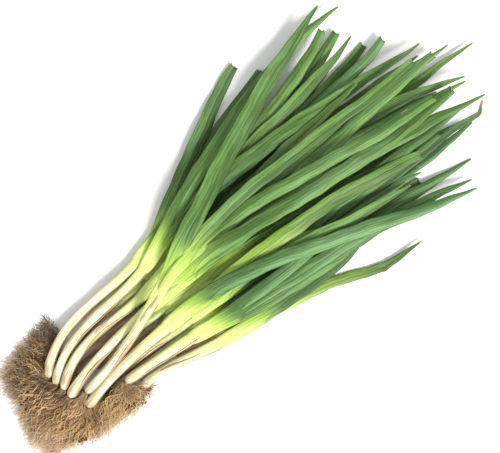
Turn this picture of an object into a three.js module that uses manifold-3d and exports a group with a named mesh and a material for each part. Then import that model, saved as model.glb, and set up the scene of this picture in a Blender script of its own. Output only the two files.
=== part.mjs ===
// A bunch of spring onions lying on a table. Thirteen plants are piled in two layers and fan out towards
// their leaf tips. Each plant is three solids: a white shank that swells into a small bulb, the two to four
// flattened green leaves that grow out of its neck, and the tuft of brown roots under the bulb.
//
// Millimetres, +Z up. +X runs from the roots to the leaf tips. The origin is the middle of the bunch's
// bounding box in plan, on the surface that it lies on. The plants are laid out in plan by hand, and a rule
// works out how high each one lies on those below it.

import * as THREE from 'three';
import { mergeVertices } from 'three/addons/utils/BufferGeometryUtils.js';
import Module from 'manifold-3d';

const wasm = await Module();
wasm.setup();

// ---------------------------------------------------------------------------------------------------------
// Driving dimensions
// ---------------------------------------------------------------------------------------------------------

const PLAN_CENTRE = [1, 7]; // middle of the bunch's box, in the plan used below
const SEED = 20;

// How strands, which are shanks and leaves, lie on each other
const STEP = 5; // spacing of the points along a strand
const CLEAR_OVER = 0.5; // clearance to a strand that is crossed
const CLEAR_BESIDE = 0.8; // clearance to a strand alongside
const REACH = 2; // points each way over which a strand starts to rise, and is smoothed
const MAX_SLOPE = 0.16; // a strand comes down from a crossing no steeper than this
const SETTLE = 0.35; // depth to which whatever touches the table is pressed flat

// Shanks
const SHANK_SIDES = 10;
const BULB_SWELL = 0.1; // extra width of the bulb, as a share of the shank's
const BULB_AT = 10; // distance of its widest place from the root end
const BULB_SPREAD = 9;
const ROUNDED_END = 6; // length over which the root end rounds off, to half the width
const NECK_WIDEN = 0.28; // shares by which the shank widens and flattens towards the neck
const NECK_FLATTEN = 0.4;
const NECK_LENGTH = 45;

// Leaves
const LEAF_HALF_WIDTH = 5.7;
const LEAF_HALF_THICKNESS = 1.25;
const BASE_WIDTH = 0.8; // the leaf's half width and thickness at the neck, in half widths of the shank
const BASE_THICKNESS = 0.44;
const BASE_LENGTH = 55; // length over which the base takes the leaf's own section
const TAPER_FROM = 0.55; // share of the leaf's length at which it starts to narrow
const TAPER_POWER = 2.3;
const TORN_SHARE = 0.55; // share of its width and thickness that a torn leaf keeps at its end
const TIP_HALF_WIDTH = 0.7;
const TIP_HALF_THICKNESS = 0.35;
const TIP_LIFT = 8; // the most that a leaf tip curls up
const LEAF_SPACING = 2; // spacing of a plant's leaves across its neck
const NECK_GAP = 0.5; // clearance between the shank's end and the leaves
const NECK_FADE = 50; // length over which a leaf leaves its neck's height
const PARTING_LENGTH = 70; // length over which a plant's own leaves come to lie on each other

// Roots
const ROOTS_PER_TUFT = 6;
const ROOT_SIDES = 3;
const ROOT_SEGMENTS = 3;
const ROOT_RADIUS = 1.4;
const ROOT_TIP_RADIUS = 0.7;
const ROOT_START = 2; // distance from the core's middle at which a root starts
const ROOT_WAVE = 4; // sideways wander of a root, most at its tip
const ROOT_CLEAR = 1.5; // distance of a root's middle line from its tuft's fences
const MAT_SHARE = 0.8; // length of a tuft's matted inner part, as a share of its plot's
const MAT_RINGS = [0, 0.45, 1]; // where along it the mat's sections are
const MAT_RIDGES = 4; // bundles across the mat
const MAT_SINK = 1; // the mat's bottom lies this far below the lowest root's middle line
const MAT_RIM = 1.8; // thickness of the mat's rim
const MAT_RAGGED = 4; // how far the ends of the bundles stand out at the rim
const CORE_RADIUS = 3.3; // radius of the knot that a tuft's roots grow from
const CORE_GAP = 0.4; // clearance between the bulb's end and that knot
// Heights of the lowest and highest roots' middle lines in each layer, which go from the first number to the
// second between these two distances from the bulb
const ROOT_HEIGHTS = {
  lower: { low: [1.7, 1.7], high: [7.2, 5], from: 5, to: 16 },
  upper: { low: [11.9, 8], high: [18, 12.5], from: 22, to: 45 },
};
const BED_HEIGHT = 9; // top of the lower plants' roots, which the upper bulbs lie on
const BED_EDGE = -180; // where that bed begins in plan
const BED_RAMP = 12;

const SIMPLIFY = 0.45; // the most that leaving a point out may move a strand's surface

// The plants, from the bottom of the pile to its top. r is the shank's half width. The shank runs from the
// bulb to the neck, and bends are its two sideways bends on the way. Each leaf has its tip and the sideways
// bow of its last third. A torn one has lost its point, and a kinked one is folded short of its tip.
// plot counts the place of the tuft of roots between the fences of its layer.
const PLANTS = [
  {
    layer: 'lower', plot: 0, r: 4, bulb: [-199, 24], neck: [-82, 41], bends: [4, -8],
    leaves: [
      { tip: [60, 90], bow: 5 }, { tip: [105, 102], bow: 6, torn: true },
      { tip: [89, 121], bow: 4, torn: true },
    ],
  },
  {
    layer: 'lower', plot: 1, r: 4, bulb: [-197, 13], neck: [-90, 25], bends: [5, 0],
    leaves: [
      { tip: [200, 50], bow: 0 }, { tip: [173, 70], bow: -4 }, { tip: [222, 22], bow: 4 },
      { tip: [214, -14], bow: 10 },
    ],
  },
  {
    layer: 'lower', plot: 2, r: 4.2, bulb: [-197, -2], neck: [-89, -7], bends: [3, 1],
    leaves: [
      { tip: [170, -34], bow: 4, torn: true }, { tip: [160, -25], bow: 10 },
      { tip: [221, -56], bow: -20 }, { tip: [241, -47], bow: 4, kink: [231, -54] },
    ],
  },
  {
    layer: 'lower', plot: 5, r: 4.7, bulb: [-159, -47], neck: [-72, -63], bends: [8, -1],
    leaves: [
      { tip: [150, -76], bow: 12 }, { tip: [118, -108], bow: 14, kink: [76, -106] },
      { tip: [73, -75], bow: -8 },
    ],
  },
  {
    layer: 'lower', plot: 4, r: 4, bulb: [-182, -33], neck: [-84, -38], bends: [2, 1],
    leaves: [
      { tip: [150, -66], bow: 0, torn: true }, { tip: [218, -52], bow: 6 }, { tip: [199, -81], bow: 2 },
    ],
  },
  {
    layer: 'lower', plot: 3, r: 4.2, bulb: [-196, -22], neck: [-80, -29], bends: [0, 0],
    leaves: [{ tip: [190, -44], bow: 0, torn: true }, { tip: [222, -40], bow: 4 }],
  },
  {
    layer: 'upper', plot: 0, r: 4.2, bulb: [-217, 13], neck: [-81, 43], bends: [31, 0],
    leaves: [
      { tip: [149, 64], bow: -6 }, { tip: [190, 61], bow: -18, torn: true },
      { tip: [178, 84], bow: -20, torn: true }, { tip: [169, 94], bow: -24, torn: true },
    ],
  },
  {
    layer: 'upper', plot: 6, r: 4.5, bulb: [-167, -34], neck: [-86, -44], bends: [1, 2],
    leaves: [
      { tip: [88, -71], bow: -10 }, { tip: [147, -83], bow: 4, torn: true }, { tip: [187, -94], bow: 10 },
      { tip: [156, -60], bow: 10 },
    ],
  },
  {
    layer: 'upper', plot: 1, r: 4.2, bulb: [-215, 4], neck: [-78, 36], bends: [26, -5],
    leaves: [
      { tip: [186, 73], bow: -8 }, { tip: [206, 53], bow: -16, torn: true }, { tip: [228, 29], bow: 6 },
      { tip: [194, 101], bow: 26 },
    ],
  },
  {
    layer: 'upper', plot: 2, r: 4.2, bulb: [-212, -4], neck: [-95, 16], bends: [24, 2],
    leaves: [
      { tip: [266, -1], bow: 6 }, { tip: [160, 36], bow: 6 }, { tip: [231, 14], bow: 8, torn: true },
      { tip: [240, -19], bow: 30 },
    ],
  },
  {
    layer: 'upper', plot: 3, r: 4.4, bulb: [-212, -12], neck: [-95, 3], bends: [8, 4],
    leaves: [
      { tip: [245, 12], bow: 6 }, { tip: [237, -23], bow: 12 }, { tip: [241, -43], bow: 12 },
      { tip: [220, -21], bow: -14, torn: true },
    ],
  },
  {
    layer: 'upper', plot: 5, r: 4.7, bulb: [-207, -29], neck: [-98, -20], bends: [6, 3],
    leaves: [
      { tip: [60, -45], bow: 12, torn: true }, { tip: [165, -48], bow: 18, torn: true },
      { tip: [140, -62], bow: -6 }, { tip: [184, -103], bow: 0 },
    ],
  },
  {
    layer: 'upper', plot: 4, r: 4.2, bulb: [-199, -18], neck: [-92, 8], bends: [-7, -5],
    leaves: [
      { tip: [203, -16], bow: -2, torn: true }, { tip: [210, 20], bow: 2, torn: true },
      { tip: [179, 112], bow: 12 },
    ],
  },
];

// Fences between neighbouring tufts in each layer, as [inner end, outer end] in plan. Plot 0 lies between the
// first two fences. Roots keep inside their own plot and end near the line that joins its outer ends.
const FENCES = {
  lower: [
    [[-197, 30], [-188, 52]], [[-203, 18.5], [-222, 51]], [[-202, 6], [-251, 45]],
    [[-200, -12], [-266, 8]], [[-190.5, -28.5], [-264, -40]], [[-171, -40.5], [-205, -57]],
    [[-156, -51], [-154, -56]],
  ],
  upper: [
    [[-217, 17.5], [-226, 50]], [[-219, 7], [-256, 30]], [[-216.8, -1.2], [-266, 4]],
    [[-215.3, -9], [-265, -6]], [[-209, -15.5], [-267, -22]], [[-206.3, -23.2], [-265, -37]],
    [[-183, -32.5], [-222, -56]], [[-166, -39.5], [-160, -54]],
  ],
};

const COLOURS = {
  shank: 0xe6e3c2,
  leavesLower: 0x47733c,
  leavesUpper: 0x6f9c54,
  roots: 0x93703f,
};

// ---------------------------------------------------------------------------------------------------------
// Small helpers
// ---------------------------------------------------------------------------------------------------------

const vec2 = ([x, y]) => new THREE.Vector2(x, y);
const leftOf = (v) => new THREE.Vector2(-v.y, v.x);
const clamp01 = (x) => Math.min(Math.max(x, 0), 1);
const mix = (a, b, share) => a + (b - a) * share;

function smooth(x) {
  const c = clamp01(x);
  return c * c * (3 - 2 * c);
}

// A repeatable random number from 0 to 1, by the Lehmer generator
function generator(seed) {
  let state = seed;
  return () => {
    state = (state * 16807) % 2147483647;
    return state / 2147483647;
  };
}

// ---------------------------------------------------------------------------------------------------------
// Strands in plan
// ---------------------------------------------------------------------------------------------------------

// A plan curve from one place to another, with points about STEP apart
function route(from, control1, control2, to) {
  const count = Math.floor(from.distanceTo(to) / STEP + 0.5);
  return new THREE.CubicBezierCurve(from, control1, control2, to).getPoints(count);
}

function strand(plan, halfSizes) {
  const along = [0];
  for (let i = 1; i < plan.length; i += 1) {
    along.push(along[i - 1] + plan[i].distanceTo(plan[i - 1]));
  }
  const length = along.at(-1);
  const sizes = along.map((s) => halfSizes(s, length));
  return { plan, along, length, w: sizes.map((size) => size[0]), t: sizes.map((size) => size[1]) };
}

function shankHalfSizes(r) {
  return (s, length) => {
    const bulb = 1 + BULB_SWELL * Math.exp(-(((s - BULB_AT) / BULB_SPREAD) ** 2));
    const end = Math.sqrt(1 - 0.75 * clamp01((ROUNDED_END - s) / ROUNDED_END) ** 2);
    const neck = smooth((s - length + NECK_LENGTH) / NECK_LENGTH);
    const size = r * bulb * end;
    return [size * (1 + NECK_WIDEN * neck), size * (1 - NECK_FLATTEN * neck)];
  };
}

function leafHalfSizes(r, halfWidth, halfThickness, torn) {
  const lost = torn ? 1 - TORN_SHARE : 1;
  return (s, length) => {
    const grown = smooth(s / BASE_LENGTH);
    const body = 1 - lost * clamp01((s / length - TAPER_FROM) / (1 - TAPER_FROM)) ** TAPER_POWER;
    const w = mix(BASE_WIDTH * r, halfWidth, grown) * body + TIP_HALF_WIDTH;
    const t = mix(BASE_THICKNESS * r, halfThickness, grown) * body + TIP_HALF_THICKNESS;
    return [w, t];
  };
}

function shankStrand(plant) {
  const bulb = vec2(plant.bulb);
  const neck = vec2(plant.neck);
  const third = neck.clone().sub(bulb).divideScalar(3);
  const left = leftOf(third).normalize();
  const control1 = bulb.clone().add(third).addScaledVector(left, plant.bends[0]);
  const control2 = neck.clone().sub(third).addScaledVector(left, plant.bends[1]);
  return strand(route(bulb, control1, control2, neck), shankHalfSizes(plant.r));
}

function leafStrand(plant, { tip, bow, kink, torn }, start, heading, random) {
  const end = vec2(kink ?? tip);
  const reach = end.clone().sub(start);
  const control1 = start.clone().addScaledVector(heading, 0.3 * reach.length());
  const left = leftOf(reach).normalize();
  const control2 = end.clone().addScaledVector(reach, -1 / 3).addScaledVector(left, bow);
  const plan = route(start, control1, control2, end);
  if (kink) {
    const beyond = vec2(tip).sub(end).divideScalar(3);
    const after = route(end, end.clone().add(beyond), vec2(tip).sub(beyond), vec2(tip));
    plan.push(...after.slice(1));
  }
  const halfWidth = LEAF_HALF_WIDTH * (0.9 + 0.22 * random());
  const halfThickness = LEAF_HALF_THICKNESS * (0.9 + 0.25 * random());
  const leaf = strand(plan, leafHalfSizes(plant.r, halfWidth, halfThickness, torn));
  leaf.heading = heading;
  leaf.lift = TIP_LIFT * random() ** 2;
  return leaf;
}

// ---------------------------------------------------------------------------------------------------------
// Heights: each strand lies on the table or on whatever it crosses
// ---------------------------------------------------------------------------------------------------------

// The lowest height of the strand's middle at each point that clears the samples placed so far
function supportedHeights({ plan, w, t }, placed) {
  return plan.map((point, i) => {
    let height = t[i];
    for (const other of placed) {
      const apart = Math.hypot(other.x - point.x, other.y - point.y);
      const touching = other.w + w[i] + CLEAR_BESIDE;
      if (apart < touching) {
        const rise = (other.t + t[i] + CLEAR_OVER) * Math.sqrt(1 - (apart / touching) ** 2);
        height = Math.max(height, other.z + rise);
      }
    }
    return height;
  });
}

// Heights that start to rise early and come down slowly, never below those given
function spread(heights) {
  const wide = heights.map((_, i) => Math.max(...heights.slice(Math.max(0, i - REACH), i + REACH + 1)));
  for (let i = 1; i < wide.length; i += 1) {
    wide[i] = Math.max(wide[i], wide[i - 1] - MAX_SLOPE * STEP);
  }
  for (let i = wide.length - 2; i >= 0; i -= 1) {
    wide[i] = Math.max(wide[i], wide[i + 1] - MAX_SLOPE * STEP);
  }
  return wide;
}

// A weighted running mean over REACH points each way, which stays above what spread() was given
function soften(heights) {
  return heights.map((_, i) => {
    let sum = 0;
    let total = 0;
    for (let j = -REACH; j <= REACH; j += 1) {
      const weight = REACH + 1 - Math.abs(j);
      const at = Math.min(Math.max(i + j, 0), heights.length - 1);
      sum += weight * heights[at];
      total += weight;
    }
    return sum / total;
  });
}

function samplesOf({ plan, z, w, t }) {
  return plan.map((point, i) => ({ x: point.x, y: point.y, z: z[i], w: w[i], t: t[i] }));
}

// The whole way from a plant's root end to one leaf's tip
function joined(shank, leaf) {
  return {
    plan: [...shank.plan, ...leaf.plan.slice(1)],
    w: [...shank.w, ...leaf.w.slice(1)],
    t: [...shank.t, ...leaf.t.slice(1)],
  };
}

// Heights of the whole way, where an upper plant's bulb lies on the lower plants' roots
function wayHeights(plant, way, placed) {
  const heights = supportedHeights(way, placed);
  if (plant.layer === 'lower') {
    return spread(heights);
  }
  const bedded = heights.map((height, i) => {
    const bed = BED_HEIGHT * smooth((BED_EDGE - way.plan[i].x) / BED_RAMP);
    return Math.max(height, bed + way.t[i]);
  });
  return spread(bedded);
}

// Sets the heights z of a plant's shank and leaves, and adds them to what is placed
function settlePlant(plant, shank, leaves, placed) {
  const neckAt = shank.plan.length - 1;
  const ways = leaves.map((leaf) => wayHeights(plant, joined(shank, leaf), placed));
  const common = shank.plan.map((_, i) => Math.max(...ways.map((way) => way[i])));
  const softened = ways.map((way) => soften([...common, ...way.slice(neckAt + 1)]));
  shank.z = shank.plan.map((_, i) => Math.max(...softened.map((way) => way[i])));

  const own = [];
  leaves.forEach((leaf, k) => {
    const free = softened[k].slice(neckAt);
    const neckRise = shank.z[neckAt] - free[0];
    const overOwn = soften(spread(supportedHeights(leaf, own)));
    leaf.z = free.map((height, i) => {
      const s = leaf.along[i];
      const z = height + neckRise * (1 - smooth(s / NECK_FADE));
      const parted = own.length > 0 ? Math.max(0, overOwn[i] - z) * smooth(s / PARTING_LENGTH) : 0;
      const tipShare = clamp01((s / leaf.length - 0.4) / 0.6);
      return z + parted + leaf.lift * tipShare ** 2;
    });
    own.push(...samplesOf(leaf));
  });
  placed.push(...samplesOf(shank), ...own);
}

function layOut() {
  const random = generator(SEED);
  const placed = [];
  return PLANTS.map((plant) => {
    const shank = shankStrand(plant);
    const neck = shank.plan.at(-1);
    const heading = neck.clone().sub(shank.plan.at(-2)).normalize();
    const middle = (plant.leaves.length - 1) / 2;
    const leaves = plant.leaves.map((leaf, k) => {
      const start = neck.clone().addScaledVector(heading, NECK_GAP);
      start.addScaledVector(leftOf(heading), (k - middle) * LEAF_SPACING);
      return leafStrand(plant, leaf, start, heading, random);
    });
    settlePlant(plant, shank, leaves, placed);
    return { shank, leaves };
  });
}

// ---------------------------------------------------------------------------------------------------------
// Solids
// ---------------------------------------------------------------------------------------------------------

function toSolid(geometry) {
  geometry.deleteAttribute('normal');
  geometry.deleteAttribute('uv');
  const merged = mergeVertices(geometry);
  const vertProperties = new Float32Array(merged.attributes.position.array);
  const triVerts = new Uint32Array(merged.index.array);
  return new wasm.Manifold(new wasm.Mesh({ numProp: 3, vertProperties, triVerts }));
}

// A closed solid through rings of points. Each ring runs from its left side over the top.
function loft(rings) {
  const sides = rings[0].length;
  const indices = [];
  for (let i = 0; i + 1 < rings.length; i += 1) {
    for (let k = 0; k < sides; k += 1) {
      const next = (k + 1) % sides;
      const a = i * sides + k;
      const b = i * sides + next;
      indices.push(a, b, b + sides, a, b + sides, a + sides);
    }
  }
  const lastRing = (rings.length - 1) * sides;
  for (let k = 1; k + 1 < sides; k += 1) {
    indices.push(0, k + 1, k);
    indices.push(lastRing, lastRing + k, lastRing + k + 1);
  }
  const geometry = new THREE.BufferGeometry();
  const positions = rings.flat().flatMap((point) => point.toArray());
  geometry.setAttribute('position', new THREE.Float32BufferAttribute(positions, 3));
  geometry.setIndex(indices);
  return toSolid(geometry);
}

// The points of a strand that its shape needs, to within SIMPLIFY
function neededPoints({ plan, along, z, w, t }) {
  const values = plan.map((point, i) => [point.x, point.y, z[i], 0.5 * w[i], 0.5 * t[i]]);
  function between(from, to) {
    let worst = 0;
    let worstAt = -1;
    for (let i = from + 1; i < to; i += 1) {
      const share = (along[i] - along[from]) / (along[to] - along[from]);
      const straight = values[from].map((value, k) => mix(value, values[to][k], share));
      const miss = Math.max(...values[i].map((value, k) => Math.abs(value - straight[k])));
      if (miss > worst) {
        worst = miss;
        worstAt = i;
      }
    }
    return worst > SIMPLIFY ? [...between(from, worstAt), worstAt, ...between(worstAt, to)] : [];
  }
  const last = plan.length - 1;
  return [0, ...between(0, last), last];
}

// A strand's solid: its section, given in half widths and half thicknesses, swept along it
function strandSolid(swept, section) {
  const { plan, z, w, t, heading } = swept;
  const rings = neededPoints(swept).map((i) => {
    const before = plan[Math.max(i - 1, 0)];
    const after = plan[Math.min(i + 1, plan.length - 1)];
    const left = i === 0 && heading ? leftOf(heading) : leftOf(after.clone().sub(before)).normalize();
    return section.map(([across, up]) => new THREE.Vector3(
      plan[i].x + left.x * across * w[i],
      plan[i].y + left.y * across * w[i],
      z[i] + up * t[i],
    ));
  });
  return loft(rings);
}

const roundSection = Array.from({ length: SHANK_SIDES }, (_, k) => {
  const angle = (k / SHANK_SIDES) * 2 * Math.PI;
  return [Math.cos(angle), Math.sin(angle)];
});

const flatSection = [[1, 0], [0.5, 0.95], [-0.5, 0.95], [-1, 0], [-0.5, -0.95], [0.5, -0.95]];

// Joins solids that grow together, and leaves out any closed hollow or loose scrap that this makes
function grownTogether(solids) {
  const pieces = solids.reduce((whole, solid) => whole.add(solid)).decompose();
  return pieces.reduce((largest, piece) => (piece.volume() > largest.volume() ? piece : largest));
}

// ---------------------------------------------------------------------------------------------------------
// Roots
// ---------------------------------------------------------------------------------------------------------

// How far a place is to the left of a fence, seen from its inner end
function leftOfFence(place, [inner, outer]) {
  const along = vec2(outer).sub(vec2(inner)).normalize();
  return along.cross(place.clone().sub(vec2(inner)));
}

// Moves a place until it is ROOT_CLEAR inside both fences of its plot. Seen from the bulb, the plot is left
// of its first fence and right of its second.
function keepInPlot(place, [first, second]) {
  const kept = place.clone();
  [[first, 1], [second, -1]].forEach(([fence, side]) => {
    const short = ROOT_CLEAR - side * leftOfFence(kept, fence);
    if (short > 0) {
      const along = vec2(fence[1]).sub(vec2(fence[0])).normalize();
      kept.addScaledVector(leftOf(along), side * short);
    }
  });
  return kept;
}

function rootHeight(layer, distance, share) {
  const { low, high, from, to } = ROOT_HEIGHTS[layer];
  const outward = smooth((distance - from) / (to - from));
  return mix(mix(low[0], low[1], outward), mix(high[0], high[1], outward), share);
}

// One root: a tapering three-sided strand that wanders from the core to the plot's outer edge
function rootSolid(plant, core, coreZ, fences, spreadShare, random) {
  const edge = vec2(fences[0][1]).lerp(vec2(fences[1][1]), spreadShare);
  const end = core.clone().lerp(edge, 0.72 + 0.26 * random());
  const ahead = end.clone().sub(core).normalize();
  const start = core.clone().addScaledVector(ahead, ROOT_START);
  const heightShare = random();
  const rings = [];
  let before = core;
  for (let k = 0; k <= ROOT_SEGMENTS; k += 1) {
    const share = k / ROOT_SEGMENTS;
    const wander = ROOT_WAVE * share * (2 * random() - 1);
    const middle = start.clone().lerp(end, share).addScaledVector(leftOf(ahead), wander);
    const place = k === 0 ? start : keepInPlot(middle, fences);
    const free = rootHeight(plant.layer, place.distanceTo(core), heightShare);
    const z = k === 0 ? coreZ + ROOT_START * (heightShare - 0.5) : free;
    const radius = mix(ROOT_RADIUS, ROOT_TIP_RADIUS, share);
    const across = leftOf(place.clone().sub(before)).normalize();
    rings.push(Array.from({ length: ROOT_SIDES }, (_, side) => {
      const angle = Math.PI / 2 + (side / ROOT_SIDES) * 2 * Math.PI;
      const sideways = radius * Math.cos(angle);
      return new THREE.Vector3(
        place.x + across.x * sideways,
        place.y + across.y * sideways,
        z + radius * Math.sin(angle),
      );
    }));
    before = place;
  }
  return loft(rings);
}

// The matted inner part of a tuft, which its roots stand out of: a wedge that widens with the plot, ridged
// lengthwise where the roots are stuck together in bundles, with the bundles' ends standing out at its rim
function rootMat(plant, core, fences, random) {
  const edgeMiddle = vec2(fences[0][1]).lerp(vec2(fences[1][1]), 0.5);
  const ahead = edgeMiddle.clone().sub(core).normalize();
  const left = leftOf(ahead);
  const length = MAT_SHARE * edgeMiddle.distanceTo(core);
  const rings = MAT_RINGS.map((share) => {
    const place = core.clone().addScaledVector(ahead, share * length);
    const room = Math.min(leftOfFence(place, fences[0]), -leftOfFence(place, fences[1]));
    const halfWidth = mix(CORE_RADIUS / 2, room - 0.5 * ROOT_CLEAR, share);
    const bottom = rootHeight(plant.layer, share * length, 0) - MAT_SINK;
    const top = mix(rootHeight(plant.layer, share * length, 0.8), bottom + MAT_RIM, share ** 2);
    const point = (across, up, further) => new THREE.Vector3(
      place.x + left.x * across * halfWidth + ahead.x * further * share,
      place.y + left.y * across * halfWidth + ahead.y * further * share,
      mix(bottom, top, up),
    );
    const ridges = Array.from({ length: 2 * MAT_RIDGES + 1 }, (_, k) => {
      const across = 1 - k / MAT_RIDGES;
      const onRidge = k % 2 === 1;
      const up = (onRidge ? 1 : 0.45) * (1 - 0.5 * across ** 2) * (0.8 + 0.4 * random());
      return point(across, up, onRidge ? MAT_RAGGED * random() : -MAT_RAGGED);
    });
    return [...ridges, point(-0.8, 0, 0), point(0.8, 0, 0)];
  });
  return loft(rings);
}

function rootTuft(plant, shank, random) {
  const fences = FENCES[plant.layer].slice(plant.plot, plant.plot + 2);
  const outward = shank.plan[0].clone().sub(shank.plan[1]).normalize();
  const core = shank.plan[0].clone().addScaledVector(outward, CORE_RADIUS + CORE_GAP);
  const knot = new THREE.IcosahedronGeometry(CORE_RADIUS, 0);
  knot.translate(core.x, core.y, shank.z[0]);
  const roots = Array.from({ length: ROOTS_PER_TUFT }, (_, k) => {
    const spreadShare = (k + random()) / ROOTS_PER_TUFT;
    return rootSolid(plant, core, shank.z[0], fences, spreadShare, random);
  });
  return grownTogether([toSolid(knot), rootMat(plant, core, fences, random), ...roots]);
}

// ---------------------------------------------------------------------------------------------------------
// The bunch
// ---------------------------------------------------------------------------------------------------------

// Cuts off what reaches below the table, which leaves the small flat spots that the bunch rests on
const belowTable = toSolid(new THREE.BoxGeometry(800, 500, 20).translate(0, 0, SETTLE - 10));

function pressedFlat(solid) {
  return grownTogether([solid.subtract(belowTable)]);
}

function meshOf(solid, name, colour, roughness) {
  const { vertProperties, triVerts } = solid.getMesh();
  const geometry = new THREE.BufferGeometry();
  geometry.setAttribute('position', new THREE.BufferAttribute(vertProperties, 3));
  geometry.setIndex(new THREE.BufferAttribute(triVerts, 1));
  geometry.computeVertexNormals();
  const material = new THREE.MeshStandardMaterial({ color: colour, roughness, metalness: 0 });
  const mesh = new THREE.Mesh(geometry, material);
  mesh.name = name;
  return mesh;
}

const bunch = new THREE.Group();
bunch.position.set(-PLAN_CENTRE[0], -PLAN_CENTRE[1], -SETTLE);

layOut().forEach(({ shank, leaves }, index) => {
  const plant = PLANTS[index];
  const number = String(index + 1).padStart(2, '0');
  const leafColour = plant.layer === 'lower' ? COLOURS.leavesLower : COLOURS.leavesUpper;
  const shankSolid = pressedFlat(strandSolid(shank, roundSection));
  const leavesSolid = pressedFlat(grownTogether(leaves.map((leaf) => strandSolid(leaf, flatSection))));
  const rootsSolid = pressedFlat(rootTuft(plant, shank, generator(SEED + 1 + index)));
  bunch.add(meshOf(shankSolid, `shank_${number}`, COLOURS.shank, 0.45));
  bunch.add(meshOf(leavesSolid, `leaves_${number}`, leafColour, 0.5));
  bunch.add(meshOf(rootsSolid, `roots_${number}`, COLOURS.roots, 0.9));
});

export default bunch;
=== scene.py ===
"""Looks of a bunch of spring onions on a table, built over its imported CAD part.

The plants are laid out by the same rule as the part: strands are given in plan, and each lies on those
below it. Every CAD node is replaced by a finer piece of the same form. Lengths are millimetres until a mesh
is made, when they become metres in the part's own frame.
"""

import math

import bpy
import numpy as np
from mathutils import Matrix, Vector


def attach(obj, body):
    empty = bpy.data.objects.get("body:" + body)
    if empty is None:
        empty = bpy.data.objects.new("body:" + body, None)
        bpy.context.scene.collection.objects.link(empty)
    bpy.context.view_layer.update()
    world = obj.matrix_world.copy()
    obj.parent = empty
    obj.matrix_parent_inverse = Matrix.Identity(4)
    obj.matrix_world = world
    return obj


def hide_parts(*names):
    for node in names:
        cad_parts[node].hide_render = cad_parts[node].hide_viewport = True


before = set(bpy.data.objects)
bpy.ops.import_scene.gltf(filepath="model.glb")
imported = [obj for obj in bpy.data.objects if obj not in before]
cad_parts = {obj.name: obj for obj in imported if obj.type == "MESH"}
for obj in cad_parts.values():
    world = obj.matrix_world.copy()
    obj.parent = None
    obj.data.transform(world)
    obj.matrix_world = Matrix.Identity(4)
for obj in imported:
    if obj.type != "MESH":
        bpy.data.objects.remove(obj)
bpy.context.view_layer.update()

# ----------------------------------------------------------------------
# The layout, the same as the part's
# ----------------------------------------------------------------------

PLAN_CENTRE = (1.0, 7.0)
SEED = 20
STEP = 5.0
CLEAR_OVER = 0.5
CLEAR_BESIDE = 0.8
REACH = 2
MAX_SLOPE = 0.16
SETTLE = 0.35
BULB_SWELL, BULB_AT, BULB_SPREAD, ROUNDED_END = 0.1, 10.0, 9.0, 6.0
NECK_WIDEN, NECK_FLATTEN, NECK_LENGTH = 0.28, 0.4, 45.0
LEAF_HALF_WIDTH, LEAF_HALF_THICKNESS = 5.7, 1.25
BASE_WIDTH, BASE_THICKNESS, BASE_LENGTH = 0.8, 0.44, 55.0
TAPER_FROM, TAPER_POWER, TORN_SHARE = 0.55, 2.3, 0.55
TIP_HALF_WIDTH, TIP_HALF_THICKNESS, TIP_LIFT = 0.7, 0.35, 8.0
LEAF_SPACING, NECK_GAP, NECK_FADE, PARTING_LENGTH = 2.0, 0.5, 50.0, 70.0
CORE_RADIUS, CORE_GAP = 3.3, 0.4
BED_HEIGHT, BED_EDGE, BED_RAMP = 9.0, -180.0, 12.0
ROOT_HEIGHTS = {
    "lower": {"low": (1.7, 1.7), "high": (7.2, 5.0), "from": 5.0, "to": 16.0},
    "upper": {"low": (11.9, 8.0), "high": (18.0, 12.5), "from": 22.0, "to": 45.0},
}


def leaf(x, y, bow, kink=None, torn=False):
    return {"tip": (x, y), "bow": bow, "kink": kink, "torn": torn}


def plant(layer, plot, r, bulb, neck, bends, leaves):
    return {
        "layer": layer, "plot": plot, "r": r, "bulb": bulb, "neck": neck, "bends": bends, "leaves": leaves,
    }


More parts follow.
